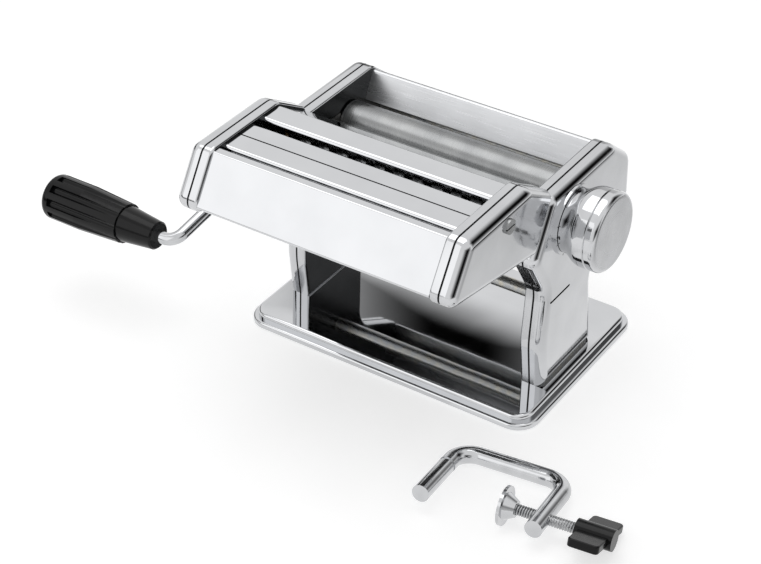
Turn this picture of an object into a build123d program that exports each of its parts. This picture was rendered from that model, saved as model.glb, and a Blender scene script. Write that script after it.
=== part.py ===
from build123d import *
import math
import os

# Hand-cranked pasta roller machine with a double cutter, a crank and a table clamp.
# Millimetres. X runs across the machine towards the knob, Y to the rear, Z up from the table.

# Base plate
BASE_MARGIN = 9.7
BASE_DEPTH = 134.0
BASE_CENTRE_Y = 1.5
BASE_CORNER = 14.5
BASE_TOP = 9.0
BASE_LIFT = 1.0
RIM_HEIGHT = 3.6
RIM_STEP = 3.4
RIM_ROUND = 1.8
DECK_ROUND = 2.2
BASE_SHEET = 1.2
FOOT_RADIUS = 8.0
FOOT_INSET = 20.0

# Side cheeks, shared by the machine and the cutter
INNER_SPAN = 155.0
FRAME_DEPTH = 5.6
SEAM_WIDTH = 1.2
COVER_DEPTH = 8.5
FRAME_SHEET = 1.5
COVER_SHEET = 1.2
FRAME_ROUND = 1.6
COVER_ROUND = 6.0
SEAM_INSET = 0.9
SEAM_BREADTH = 2.4

# Machine cheek outline
CHEEK_TOP = 138.5
NECK_TOP_Y = -24.5
NECK_LEAN = 30.0
NECK_LENGTH = 40.0
CHEEK_TOP_REAR_Y = 45.5
CHEEK_REAR_Y = 67.5
REAR_SHOULDER_DROP = 17.5
REAR_FOOT_DROP = 48.0
CROTCH = (23.5, 66.0)
LEG_REAR_Y = 28.5
LEG_FRONT_Y = -31.0
LEG_BULGE = (-33.5, 40.0)
LEG_WAIST = (-28.5, 76.0)
CHEEK_RADII = (7.0, 10.0, 10.0, 12.0, 20.0, 0.0, 0.0, 60.0, 20.0, 9.0)

# Smooth rollers and their bearings
ROLLER_RADIUS = 13.0
ROLLER_DROP = 25.5
FRONT_ROLLER_Y = -7.5
ROLLER_GAP = 0.5
ROLLER_TRAVEL = 2.5
ROLLER_END_GAP = 1.0
JOURNAL_RADIUS = 5.0
SOCKET_JOURNAL_RADIUS = 7.0
RUNNING_FIT = 0.03
BUSH_WALL = 1.4
BUSH_FLANGE = 0.8
BUSH_FLANGE_THICKNESS = 1.4
BLOCK_RISE = 10.0
BLOCK_DROP = 18.5
BLOCK_FRONT = 10.0
BLOCK_REAR = 16.2
BLOCK_OVERLAP = 2.0
BLOCK_THICKNESS = 3.4
SLIDE_FIT = 0.1
WINDOW_SPARE = 0.4
SCRAPER_GAP = 0.5
SCRAPER_DEPTH = 9.0
SCRAPER_HEIGHT = 4.0
ROLLER_TEETH = 12
CUTTER_TEETH = 14
GEAR_WIDTH = 6.0
GEAR_PLANE = 5.0
TOOTH_REACH = 0.85
TOOTH_ROOT = 1.3
TOOTH_TIP_SHARE = 0.11
TOOTH_FOOT_SHARE = 0.28

# Thickness knob, its cam and its shaft
KNOB_BEHIND_ROLLER = 4.1
KNOB_OVER_ROLLER = 1.0
CAM_RADIUS = 8.2
CAM_THICKNESS = 3.3
CAM_PLANE = 6.6
CAM_STEPS = 8
CAM_DWELL = 15.0
KNOB_TURN = 288.0
FOLLOWER_RADIUS = 1.6
FOLLOWER_GAP = 0.15
KNOB_SHAFT_RADIUS = 5.0
KNOB_BUSH_RADIUS = 7.0
KNOB_BUSH_FLANGE = 9.0
RING_RADIUS = 21.5
RING_THICKNESS = 1.5
DETENTS = 9
DETENT_CIRCLE = 14.5
DETENT_RADIUS = 1.9
KNOB_LENGTH = 27.0
KNOB_GAP = 0.3
KNOB_FOOT_RADIUS = 19.6
KNOB_RADIUS = 24.3
KNOB_FLARE_AT = 15.0
KNOB_BAND_AT = 20.0
KNOB_BAND_GROOVE = 0.6
KNOB_END_ROUND = 3.4
KNOB_WALL = 2.0
KNOB_FLARE_WALL = 4.0
HUB_LENGTH = 8.0
HUB_FIT = 0.02
HUB_PIN_RADIUS = 1.6
SPRING_OUTER = 8.0
SPRING_WIRE = 1.2
WASHER_RADIUS = 9.0
WASHER_THICKNESS = 1.5

# Sheet covers of the machine
COVER_PLATE = 1.0
COVER_BEND = 1.5
COVER_INSET = 1.6
SHOULDER_INSET = 0.8
HOPPER_BEHIND_ROLLER = 17.0
HOPPER_OVER_ROLLER = 6.3
GUARD_AHEAD_OF_ROLLER = 13.5
GUARD_OVER_ROLLER = 15.5
GUARD_DEPTH = 30.0

# Rods, screws and legs
TIE_ROD_RADIUS = 4.0
REAR_TIE_ROD = (11.5, 15.0)
NECK_TIE_ROD = (-38.0, -13.3)
LEG_TIE_ROD = (0.0, 50.0)
NUT_FLATS = 11.0
NUT_HEIGHT = 4.0
LEG_BLOCK_FRONT = -26.5
LEG_BLOCK_REAR = 23.5
LEG_BLOCK_HEIGHT = 8.0
BASE_SCREW_RADIUS = 2.5
BASE_SCREW_HEAD = 4.5
BASE_SCREW_HEAD_HEIGHT = 2.4
BASE_SCREW_PLACES = (-17.0, 14.0)
MOTOR_SLOT_LENGTH = 22.3
MOTOR_SLOT_HEIGHT = 1.5
MOTOR_SLOT = (-14.2, 68.0)

# Cutter attachment, measured back from and down from the front top corner of its cheeks
CUTTER_GAP = 1.0
CUTTER_RISE = 22.0
CUTTER_DEPTH = 62.0
CUTTER_AHEAD_OF_NECK = 26.5
CUTTER_REAR_RISE = 4.6
CUTTER_REAR_DROP = 33.0
CUTTER_NOSE = (-21.9, 33.3)
CUTTER_RADII = (7.0, 12.0, 5.0, 5.5, 7.0)
CUT_ROW_FRONT = (3.7, 21.0)
CUT_ROW_TILT = 12.0
CUT_RADIUS = 8.0
CUT_CORE_RADIUS = 5.6
CUT_BITE = 0.6
CUT_PAIR_GAP = 1.0
WIDE_PITCH = 13.0
NARROW_PITCH = 4.0
CUT_SIDE_GAP = 0.15
CUT_JOURNAL_RADIUS = 3.0
CUT_JOURNAL_REACH = 2.8
CUT_SOCKET_RADIUS = 5.5
CUT_GEAR_WIDTH = 3.4
WIDE_GEAR_PLANE = 2.6
NARROW_GEAR_PLANE = 7.0
CUT_SCRAPER_GAP = 0.5
CUT_SCRAPER = (4.0, 3.0)
PLATE_INSET = 2.5
FRONT_PLATE_TOP = (1.1, 1.8)
FRONT_PLATE_FOOT = (-17.7, 30.4)
FRONT_PLATE_LIP = (4.0, 1.0)
FRONT_SLOT = (5.8, 10.2)
FRONT_PLATE_BEND = 0.4
MID_SEAM = (24.6, 25.6)
REAR_SLOT = (39.0, 46.2)
CHUTE_DEPTH = 7.0
REAR_PLATE_INSET = 2.0
COVER_POST_PLACE = (38.5, 10.5)
COVER_POST_RADIUS = 3.5
COVER_SCREW_RADIUS = 2.0
COVER_SCREW_HEAD = 4.5
COVER_SCREW_LENGTH = 5.6
COVER_SCREW_RISE = 1.6
SCREW_SLOT_WIDTH = 1.0
SCREW_SLOT_DEPTH = 0.8

# Guide rails of the machine and tongues of the cutter
RAIL_WIDTH = 7.0
RAIL_DEPTH = 11.0
RAIL_SETBACK = 0.8
RAIL_WALL = 2.0
RAIL_TOP = 7.0
RAIL_BOTTOM = 33.0
RAIL_STOP = 2.0
TONGUE_THICKNESS = 2.6
TONGUE_FIT = 0.2
TONGUE_REACH = 8.0
TONGUE_FOOT = (2.5, 8.5)

# Crank
CRANK_RADIUS = 4.0
CRANK_THROW = 119.0
CRANK_DROP = 25.0
CRANK_STUB = 11.0
CRANK_ARM_SPREAD = 30.0
CRANK_BEND = 10.0
KEY_FLATS = 6.6
KEY_FIT = 0.1
KEY_LENGTH = 12.0
SOCKET_DEPTH = 13.0
GRIP_GAP = 12.0
GRIP_LENGTH = 84.0
GRIP_TIP_RADIUS = 9.0
GRIP_TIP_ROUND = 1.0
GRIP_NOSE_LENGTH = 25.0
GRIP_NOSE_RADIUS = 11.6
GRIP_SLEEVE_RADIUS = 12.8
GRIP_SWELL_AT = 56.0
GRIP_RADIUS = 14.6
GRIP_END_ROUND = 4.0
GRIP_FLUTES = 10
GRIP_FLUTE_RADIUS = 2.6
GRIP_FLUTE_AXIS = 14.9
GRIP_FLUTE_START = 24.0
GRIP_FLUTE_END = 78.0
GRIP_CAP_RADIUS = 8.0
GRIP_CAP_DEPTH = 2.5
GRIP_FIT = 0.08

# Clamp, drawn flat and then laid on the table
CLAMP_PLACE = (112.7, -96.0)
CLAMP_TURN = 7.0
CLAMP_ROD_RADIUS = 5.2
CLAMP_SPAN = 67.0
CLAMP_LONG_ARM = 52.5
CLAMP_SCREW_ARM = 38.5
CLAMP_SCREW_TO_END = 13.0
CLAMP_BEND = 13.0
CLAMP_NECK_FROM_END = 33.0
CLAMP_NECK_WIDTH = 2.0
CLAMP_NECK_DEPTH = 0.6
CLAMP_SCREW_RADIUS = 3.3
PAD_RADIUS = 11.5
PAD_THICKNESS = 1.8
PAD_NECK_RADIUS = 8.0
PAD_CUP_RADIUS = 4.9
PAD_CUP_DEPTH = 6.0
PAD_FACE = 10.5
PAD_FIT = 0.08
WING_START = 53.5
WING_HUB_LENGTH = 22.0
WING_HUB_RADIUS = 6.2
WING_LENGTH = 18.0
WING_SPAN = 43.0
WING_THICKNESS = 5.0
WING_CORNER = 2.5
WING_ROUND = 0.9
WING_TURN = -13.0
SCREW_IN_WING = 14.0
CLAMP_HOLE = (-2.0, 26.0)
CLAMP_HOLE_FIT = 0.25
CLAMP_GUIDE_WALL = 2.0

# How far cutting tools run past the metal
OVERCUT = 1.0

# Worked-out planes and places
INNER_X = INNER_SPAN / 2
WEB_X = INNER_X + FRAME_SHEET
FRAME_RIM_X = INNER_X + FRAME_DEPTH
COVER_RIM_X = FRAME_RIM_X + SEAM_WIDTH
OUTER_X = COVER_RIM_X + COVER_DEPTH
COVER_WEB_X = OUTER_X - COVER_SHEET
BASE_WIDTH = 2 * (OUTER_X + BASE_MARGIN)
REAR_SHOULDER_Z = CHEEK_TOP - REAR_SHOULDER_DROP
REAR_FOOT_Z = CHEEK_TOP - REAR_FOOT_DROP
ROLLER_Z = CHEEK_TOP - ROLLER_DROP
REAR_ROLLER_Y = FRONT_ROLLER_Y + 2 * ROLLER_RADIUS + ROLLER_GAP
BLOCK_TOP = ROLLER_Z + BLOCK_RISE
BLOCK_BOTTOM = ROLLER_Z - BLOCK_DROP
KNOB_Y = FRONT_ROLLER_Y + KNOB_BEHIND_ROLLER
KNOB_Z = ROLLER_Z + KNOB_OVER_ROLLER
CUTTER_TOP = CHEEK_TOP + CUTTER_RISE
CUTTER_REAR_TOP_Y = NECK_TOP_Y - CUTTER_AHEAD_OF_NECK
CUTTER_FRONT_TOP_Y = CUTTER_REAR_TOP_Y - CUTTER_DEPTH
PLATE_TOP = CUTTER_TOP - PLATE_INSET

os.makedirs("parts", exist_ok=True)


def save(name, *solids):
    """Write one node: one solid, or a group of like solids."""
    shape = solids[0] if len(solids) == 1 else Compound(children=list(solids))
    export_step(shape, f"parts/{name}.step")


def side_outline(points, radii):
    """A closed outline in the Y-Z plane with rounded corners."""
    return Plane.YZ * make_face(FilletPolyline(*points, radius=list(radii), close=True))


def across(face, x_from, x_to):
    """Draw a Y-Z face out along X."""
    return extrude(Pos(x_from, 0, 0) * face, amount=x_to - x_from, dir=(1, 0, 0))


def round_bar(radius, x_from, x_to, place):
    """A round bar along X about the point (Y, Z)."""
    return Pos((x_from + x_to) / 2, *place) * Rot(0, 90, 0) * Cylinder(radius, abs(x_to - x_from))


def hex_bar(flats, x_from, x_to, place):
    """A hexagonal bar along X about the point (Y, Z)."""
    hexagon = RegularPolygon(flats / 2, 6, major_radius=False)
    return across(Pos(0, *place) * (Plane.YZ * hexagon), x_from, x_to)


def block(x_range, y_range, z_range):
    """A box given by its limits."""
    limits = (x_range, y_range, z_range)
    centre = [(low + high) / 2 for low, high in limits]
    return Pos(*centre) * Box(*[abs(high - low) for low, high in limits])


def other_side(solid):
    """The same piece on the other cheek."""
    return mirror(solid, about=Plane.YZ)


def neck_point(along, ahead):
    """A point measured up the neck's front edge and ahead of it."""
    lean = math.radians(NECK_LEAN)
    y = NECK_TOP_Y + along * math.sin(lean) - ahead * math.cos(lean)
    z = CHEEK_TOP + along * math.cos(lean) + ahead * math.sin(lean)
    return y, z


def folded_sheet(points, thickness, bend, x_from, x_to):
    """A sheet folded along a path; the points lie on the side at the path's left."""
    count = len(points)
    headings = []
    for start, end in zip(points, points[1:]):
        headings.append(math.atan2(end[1] - start[1], end[0] - start[0]))
    far_side = []
    near_radii = []
    far_radii = []
    for index, (y, z) in enumerate(points):
        before = headings[max(index - 1, 0)]
        after = headings[min(index, count - 2)]
        half_turn = math.remainder(after - before, 2 * math.pi) / 2
        reach = thickness / math.cos(half_turn)
        normal = before + half_turn - math.pi / 2
        far_side.append((y + reach * math.cos(normal), z + reach * math.sin(normal)))
        inside = 0 < index < count - 1
        near_radii.append((bend if half_turn > 0 else bend + thickness) if inside else 0)
        far_radii.append((bend + thickness if half_turn > 0 else bend) if inside else 0)
    outline = side_outline(list(points) + far_side[::-1], near_radii + far_radii[::-1])
    return across(outline, x_from, x_to)


def toothed_wheel(spacing, teeth, x_from, width, place, bore, facing, gap_first):
    """A spur gear for two equal wheels at the given spacing, with running clearance in its teeth."""
    pitch_radius = spacing / 2
    module = spacing / teeth
    tip = pitch_radius + TOOTH_REACH * module
    root = pitch_radius - TOOTH_ROOT * module
    step = 2 * math.pi / teeth
    first = math.radians(facing) + (step / 2 if gap_first else 0)
    points = []
    for tooth in range(teeth):
        for radius, share in ((root, -TOOTH_FOOT_SHARE), (tip, -TOOTH_TIP_SHARE),
                              (tip, TOOTH_TIP_SHARE), (root, TOOTH_FOOT_SHARE)):
            angle = first + (tooth + share) * step
            points.append((radius * math.cos(angle), radius * math.sin(angle)))
    profile = make_face(Polyline(*points, close=True)) - Circle(bore + RUNNING_FIT)
    return across(Pos(0, *place) * (Plane.YZ * profile), x_from, x_from + width)


def flanged_bush(inner, x_seat, x_face, place):
    """A bush pressed in a web from x_face to x_seat, with its flange on the x_seat side."""
    outward = 1 if x_seat > x_face else -1
    outer = inner + BUSH_WALL
    body = round_bar(outer, x_face, x_seat, place)
    flange = round_bar(outer + BUSH_FLANGE, x_seat, x_seat + outward * BUSH_FLANGE_THICKNESS, place)
    far_end = x_seat + outward * (BUSH_FLANGE_THICKNESS + OVERCUT)
    bore = round_bar(inner + RUNNING_FIT, x_face - outward * OVERCUT, far_end, place)
    return body + flange - bore


# Base plate: a pressed pan with a stepped rim
def base_layer(inset, z_from, z_to):
    layer = RectangleRounded(BASE_WIDTH - 2 * inset, BASE_DEPTH - 2 * inset, BASE_CORNER - inset)
    return extrude(Pos(0, BASE_CENTRE_Y, z_from) * layer, amount=z_to - z_from)


rim_top = BASE_LIFT + RIM_HEIGHT
deck_inside = BASE_TOP - BASE_SHEET
rim = base_layer(0, BASE_LIFT, rim_top)
rim = fillet(rim.edges().group_by(Axis.Z)[-1], RIM_ROUND)
deck = base_layer(RIM_STEP, BASE_LIFT, BASE_TOP)
deck = fillet(deck.edges().group_by(Axis.Z)[-1], DECK_ROUND)
base_plate = rim + deck
base_plate -= base_layer(BASE_SHEET, 0, rim_top - BASE_SHEET)
base_plate -= base_layer(RIM_STEP + BASE_SHEET, 0, deck_inside)
leg_x = (WEB_X + COVER_WEB_X) / 2
screw_places = [(side * leg_x, y) for side in (-1, 1) for y in BASE_SCREW_PLACES]
for x, y in screw_places:
    drill = Cylinder(BASE_SCREW_RADIUS + RUNNING_FIT, BASE_SHEET + 2 * OVERCUT)
    base_plate -= Pos(x, y, BASE_TOP - BASE_SHEET / 2) * drill
save("base_plate", base_plate)

foot_x = BASE_WIDTH / 2 - FOOT_INSET
foot_y = BASE_DEPTH / 2 - FOOT_INSET
feet = []
for x_side in (-1, 1):
    for y_side in (-1, 1):
        foot = Pos(x_side * foot_x, BASE_CENTRE_Y + y_side * foot_y, deck_inside / 2)
        feet.append(foot * Cylinder(FOOT_RADIUS, deck_inside))
save("rubber_feet", *feet)

base_screws = []
for x, y in screw_places:
    head_z = deck_inside - BASE_SCREW_HEAD_HEIGHT / 2
    stem_top = BASE_TOP + LEG_BLOCK_HEIGHT - BASE_SHEET
    head = Pos(x, y, head_z) * Cylinder(BASE_SCREW_HEAD, BASE_SCREW_HEAD_HEIGHT)
    stem = Pos(x, y, (deck_inside + stem_top) / 2) * Cylinder(BASE_SCREW_RADIUS, stem_top - deck_inside)
    base_screws.append(head + stem)
save("base_screws", *base_screws)

leg_blocks = []
for side in (-1, 1):
    bar = block((side * WEB_X, side * COVER_WEB_X), (LEG_BLOCK_FRONT, LEG_BLOCK_REAR),
                (BASE_TOP, BASE_TOP + LEG_BLOCK_HEIGHT))
    for x, y in screw_places:
        drill = Cylinder(BASE_SCREW_RADIUS + RUNNING_FIT, LEG_BLOCK_HEIGHT + 2 * OVERCUT)
        bar -= Pos(x, y, BASE_TOP + LEG_BLOCK_HEIGHT / 2) * drill
    leg_blocks.append(bar)
save("leg_blocks", *leg_blocks)


# Cheeks: each is an inner side frame and an outer cover, pans that face each other across a dark seam
def frame_pan(outline, hollow):
    shell = across(outline, INNER_X, FRAME_RIM_X)
    shell = fillet(shell.edges().group_by(Axis.X)[0], FRAME_ROUND)
    return shell - across(hollow, WEB_X, FRAME_RIM_X)


def cover_pan(outline):
    shell = across(outline, COVER_RIM_X, OUTER_X)
    shell = fillet(shell.edges().group_by(Axis.X)[-1], COVER_ROUND)
    hollow = across(offset(outline, -COVER_SHEET), COVER_RIM_X, COVER_WEB_X)
    hollow = fillet(hollow.edges().group_by(Axis.X)[-1], COVER_ROUND - COVER_SHEET)
    return shell - hollow


def seam_ring(outline):
    ring = offset(outline, -SEAM_INSET) - offset(outline, -SEAM_INSET - SEAM_BREADTH)
    return across(ring, FRAME_RIM_X, COVER_RIM_X)


cheek_points = [
    (NECK_TOP_Y, CHEEK_TOP),
    (CHEEK_TOP_REAR_Y, CHEEK_TOP),
    (CHEEK_REAR_Y, REAR_SHOULDER_Z),
    (CHEEK_REAR_Y, REAR_FOOT_Z),
    CROTCH,
    (LEG_REAR_Y, BASE_TOP),
    (LEG_FRONT_Y, BASE_TOP),
    LEG_BULGE,
    LEG_WAIST,
    neck_point(-NECK_LENGTH, 0),
]
cheek = side_outline(cheek_points, CHEEK_RADII)
side_frame = frame_pan(cheek, offset(cheek, -FRAME_SHEET))
side_cover = cover_pan(cheek)
seam = seam_ring(cheek)
leg_mouth = block((WEB_X, COVER_WEB_X), (LEG_BLOCK_FRONT - SLIDE_FIT, LEG_BLOCK_REAR + SLIDE_FIT),
                  (0, BASE_TOP + LEG_BLOCK_HEIGHT))
side_frame -= leg_mouth
side_cover -= leg_mouth
seam -= leg_mouth

window_front = FRONT_ROLLER_Y - BLOCK_FRONT - ROLLER_TRAVEL - WINDOW_SPARE
window_rear = FRONT_ROLLER_Y + BLOCK_REAR + WINDOW_SPARE
window = block((INNER_X - OVERCUT, WEB_X + OVERCUT), (window_front, window_rear),
               (BLOCK_BOTTOM - SLIDE_FIT, BLOCK_TOP + SLIDE_FIT))
side_frame -= window
tie_rod_places = [
    (CHEEK_REAR_Y - REAR_TIE_ROD[0], REAR_SHOULDER_Z - REAR_TIE_ROD[1]),
    neck_point(*NECK_TIE_ROD),
    LEG_TIE_ROD,
]
for place in tie_rod_places:
    side_frame -= round_bar(TIE_ROD_RADIUS, INNER_X - OVERCUT, WEB_X + OVERCUT, place)
rear_axis = (REAR_ROLLER_Y, ROLLER_Z)
front_axis = (FRONT_ROLLER_Y, ROLLER_Z)
knob_axis = (KNOB_Y, KNOB_Z)


def bush_hole(inner, place):
    return round_bar(inner + BUSH_WALL, INNER_X - OVERCUT, WEB_X + OVERCUT, place)


def cover_hole(radius, place):
    return round_bar(radius, COVER_WEB_X - OVERCUT, OUTER_X + OVERCUT, place)


right_frame = side_frame - bush_hole(JOURNAL_RADIUS, rear_axis)
left_frame = other_side(side_frame - bush_hole(SOCKET_JOURNAL_RADIUS, rear_axis))
save("right_side_frame", right_frame)
save("left_side_frame", left_frame)
save("side_seams", seam, other_side(seam))

right_cover = side_cover - cover_hole(KNOB_BUSH_RADIUS, knob_axis)
detent_places = []
for number in range(DETENTS):
    turn = math.radians(number * KNOB_TURN / (DETENTS - 1))
    detent_places.append((KNOB_Y + DETENT_CIRCLE * math.cos(turn), KNOB_Z + DETENT_CIRCLE * math.sin(turn)))
for place in detent_places:
    right_cover -= cover_hole(DETENT_RADIUS, place)
motor_slot = Pos(0, *MOTOR_SLOT) * (Plane.YZ * SlotOverall(MOTOR_SLOT_LENGTH, MOTOR_SLOT_HEIGHT))
right_cover -= across(motor_slot, COVER_WEB_X - OVERCUT, OUTER_X + OVERCUT)
save("right_side_cover", right_cover)

socket_hole = SOCKET_JOURNAL_RADIUS + WINDOW_SPARE
clamp_hole = CLAMP_ROD_RADIUS + CLAMP_HOLE_FIT
left_cover = side_cover - cover_hole(socket_hole, rear_axis) - cover_hole(clamp_hole, CLAMP_HOLE)
save("left_side_cover", other_side(left_cover))

guide = round_bar(clamp_hole + CLAMP_GUIDE_WALL, -COVER_WEB_X, -WEB_X, CLAMP_HOLE)
guide -= round_bar(clamp_hole, -COVER_WEB_X - OVERCUT, -WEB_X + OVERCUT, CLAMP_HOLE)
save("clamp_guide", guide)

tie_rods = []
nuts = []
for place in tie_rod_places:
    tie_rods.append(round_bar(TIE_ROD_RADIUS - RUNNING_FIT, -WEB_X - NUT_HEIGHT, WEB_X + NUT_HEIGHT, place))
    for side in (-1, 1):
        nut = hex_bar(NUT_FLATS, side * WEB_X, side * (WEB_X + NUT_HEIGHT), place)
        nuts.append(nut - round_bar(TIE_ROD_RADIUS, -OUTER_X, OUTER_X, place))
save("tie_rods", *tie_rods)
save("tie_rod_nuts", *nuts)

# Rear cover: one folded sheet, from the hopper slope over the top and down the back
cover_top = CHEEK_TOP - COVER_INSET
rear_cover_path = [
    (CHEEK_REAR_Y - COVER_INSET, REAR_FOOT_Z + COVER_INSET),
    (CHEEK_REAR_Y - COVER_INSET, REAR_SHOULDER_Z - SHOULDER_INSET),
    (CHEEK_TOP_REAR_Y, cover_top),
    (REAR_ROLLER_Y + HOPPER_BEHIND_ROLLER, ROLLER_Z + HOPPER_OVER_ROLLER),
]
rear_cover = folded_sheet(rear_cover_path[::-1], COVER_PLATE, COVER_BEND, -INNER_X, INNER_X)
save("rear_cover", rear_cover)

# Front guard: a lip towards the rollers, folded down behind the neck's edge between the guide rails
guard_half = INNER_X - RAIL_WIDTH
guard_path = [
    (FRONT_ROLLER_Y - GUARD_AHEAD_OF_ROLLER, ROLLER_Z + GUARD_OVER_ROLLER),
    neck_point(-COVER_INSET, -COVER_INSET),
    neck_point(-GUARD_DEPTH, -COVER_INSET),
]
save("front_guard", folded_sheet(guard_path[::-1], COVER_PLATE, COVER_BEND, -guard_half, guard_half))


# Guide rails on the machine's neck: channels that take the cutter's tongues
def neck_prism(along_range, ahead_range, x_range):
    corners = [
        neck_point(along_range[0], ahead_range[0]),
        neck_point(along_range[1], ahead_range[0]),
        neck_point(along_range[1], ahead_range[1]),
        neck_point(along_range[0], ahead_range[1]),
    ]
    return across(Plane.YZ * make_face(Polyline(*corners, close=True)), *x_range)


tongue_x = INNER_X - RAIL_WALL - TONGUE_FIT
tongue_inner_x = tongue_x - TONGUE_THICKNESS
rail = neck_prism((-RAIL_BOTTOM, -RAIL_TOP), (-RAIL_DEPTH, -RAIL_SETBACK), (INNER_X - RAIL_WIDTH, INNER_X))
rail -= neck_prism((RAIL_STOP - RAIL_BOTTOM, OVERCUT - RAIL_TOP), (-TONGUE_REACH - TONGUE_FIT, OVERCUT),
                   (tongue_inner_x - TONGUE_FIT, tongue_x + TONGUE_FIT))
save("guide_rails", rail, other_side(rail))

tongue_range = (RAIL_STOP + TONGUE_FIT - RAIL_BOTTOM, -RAIL_TOP)
tongue = neck_prism(tongue_range, (-TONGUE_REACH, TONGUE_FOOT[1]), (tongue_inner_x, tongue_x))
tongue += neck_prism(tongue_range, TONGUE_FOOT, (tongue_inner_x, INNER_X))
save("cutter_tongues", tongue, other_side(tongue))

# Driven rear roller with the crank's socket in its left journal
roller_end = INNER_X - ROLLER_END_GAP
journal_end = WEB_X + BLOCK_THICKNESS
gear_x = -WEB_X - GEAR_PLANE - GEAR_WIDTH
spacing = REAR_ROLLER_Y - FRONT_ROLLER_Y
drive_roller = round_bar(ROLLER_RADIUS, -roller_end, roller_end, rear_axis)
drive_roller += round_bar(JOURNAL_RADIUS, roller_end, journal_end, rear_axis)
drive_roller += round_bar(SOCKET_JOURNAL_RADIUS, -OUTER_X, -roller_end, rear_axis)
drive_roller -= hex_bar(KEY_FLATS + 2 * KEY_FIT, -OUTER_X - OVERCUT, -OUTER_X + SOCKET_DEPTH, rear_axis)
save("drive_roller", drive_roller)
save("drive_gear", toothed_wheel(spacing, ROLLER_TEETH, gear_x, GEAR_WIDTH, rear_axis,
                                 SOCKET_JOURNAL_RADIUS, 180, False))
save("drive_roller_bushes",
     flanged_bush(JOURNAL_RADIUS, WEB_X, INNER_X, rear_axis),
     flanged_bush(SOCKET_JOURNAL_RADIUS, -WEB_X, -INNER_X, rear_axis))

# Front roller in two bearing blocks that slide in the frames' windows, tied by a scraper bar
front_roller = round_bar(ROLLER_RADIUS, -roller_end, roller_end, front_axis)
front_roller += round_bar(JOURNAL_RADIUS, roller_end, journal_end, front_axis)
front_roller += round_bar(JOURNAL_RADIUS, gear_x, -roller_end, front_axis)
save("front_roller", front_roller)
save("front_gear", toothed_wheel(spacing, ROLLER_TEETH, gear_x, GEAR_WIDTH, front_axis,
                                 JOURNAL_RADIUS, 0, True))

block_y = (FRONT_ROLLER_Y - BLOCK_FRONT, FRONT_ROLLER_Y + BLOCK_REAR)
block_face = INNER_X - ROLLER_END_GAP / 2
bearing = block((block_face, WEB_X + SLIDE_FIT), block_y, (BLOCK_BOTTOM, BLOCK_TOP))
bearing += block((WEB_X + SLIDE_FIT, journal_end), block_y,
                 (BLOCK_BOTTOM - BLOCK_OVERLAP, BLOCK_TOP + BLOCK_OVERLAP))
bearing -= round_bar(JOURNAL_RADIUS + RUNNING_FIT, block_face - OVERCUT, journal_end + OVERCUT, front_axis)
save("left_bearing_block", other_side(bearing))

cam_x = WEB_X + CAM_PLANE
follower_y = KNOB_Y + CAM_RADIUS + FOLLOWER_RADIUS + FOLLOWER_GAP
follower = round_bar(FOLLOWER_RADIUS, journal_end, cam_x + CAM_THICKNESS, (follower_y, KNOB_Z))
save("right_bearing_block", bearing + follower)

scraper_top = ROLLER_Z - ROLLER_RADIUS - SCRAPER_GAP
scraper_z = (scraper_top - SCRAPER_HEIGHT, scraper_top)


def scraper(axis_y, half_length):
    half_depth = SCRAPER_DEPTH / 2
    return block((-half_length, half_length), (axis_y - half_depth, axis_y + half_depth), scraper_z)


save("front_scraper", scraper(FRONT_ROLLER_Y, block_face))
save("rear_scraper", scraper(REAR_ROLLER_Y, INNER_X))

# Cam shaft: a scroll cam whose radius falls evenly with the turn, so that the gap opens evenly
cam_points = []
for step in range(CAM_STEPS + 1):
    share = step / CAM_STEPS
    turn = -math.radians(KNOB_TURN) * share
    radius = CAM_RADIUS - ROLLER_TRAVEL * share
    cam_points.append((radius * math.cos(turn), radius * math.sin(turn)))
dwell = math.radians(CAM_DWELL)
spare_turn = math.radians(360 - KNOB_TURN)
small_radius = CAM_RADIUS - ROLLER_TRAVEL
dwell_start = (CAM_RADIUS * math.cos(dwell), CAM_RADIUS * math.sin(dwell))
dwell_end = (small_radius * math.cos(spare_turn - dwell), small_radius * math.sin(spare_turn - dwell))
scroll = Spline(*cam_points)
big_dwell = RadiusArc(dwell_start, cam_points[0], CAM_RADIUS)
small_dwell = RadiusArc(cam_points[-1], dwell_end, small_radius)
cam_face = make_face(Curve() + [scroll, small_dwell, Line(dwell_end, dwell_start), big_dwell])
cam = across(Pos(0, *knob_axis) * (Plane.YZ * cam_face), cam_x, cam_x + CAM_THICKNESS)
ring_face = OUTER_X + RING_THICKNESS
hub_x = ring_face + KNOB_GAP
hub_end = hub_x + HUB_LENGTH
knob_end = OUTER_X + KNOB_LENGTH
shaft_end = knob_end - KNOB_WALL - KNOB_GAP
shaft_start = journal_end + SLIDE_FIT
cam_shaft = cam + round_bar(KNOB_SHAFT_RADIUS, shaft_start, shaft_end, knob_axis)
save("cam_shaft", cam_shaft)

bush_start = cam_x + CAM_THICKNESS + SLIDE_FIT
cam_bush = round_bar(KNOB_BUSH_FLANGE, bush_start, COVER_WEB_X, knob_axis)
cam_bush += round_bar(KNOB_BUSH_RADIUS, COVER_WEB_X, ring_face, knob_axis)
cam_bush -= round_bar(KNOB_SHAFT_RADIUS + RUNNING_FIT, bush_start - OVERCUT, ring_face + OVERCUT, knob_axis)
save("cam_bush", cam_bush)

index_ring = round_bar(RING_RADIUS, OUTER_X, ring_face, knob_axis)
index_ring -= round_bar(KNOB_BUSH_RADIUS, OUTER_X - OVERCUT, ring_face + OVERCUT, knob_axis)
for place in detent_places:
    index_ring -= round_bar(DETENT_RADIUS, OUTER_X - OVERCUT, ring_face + OVERCUT, place)
save("index_ring", index_ring)

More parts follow.
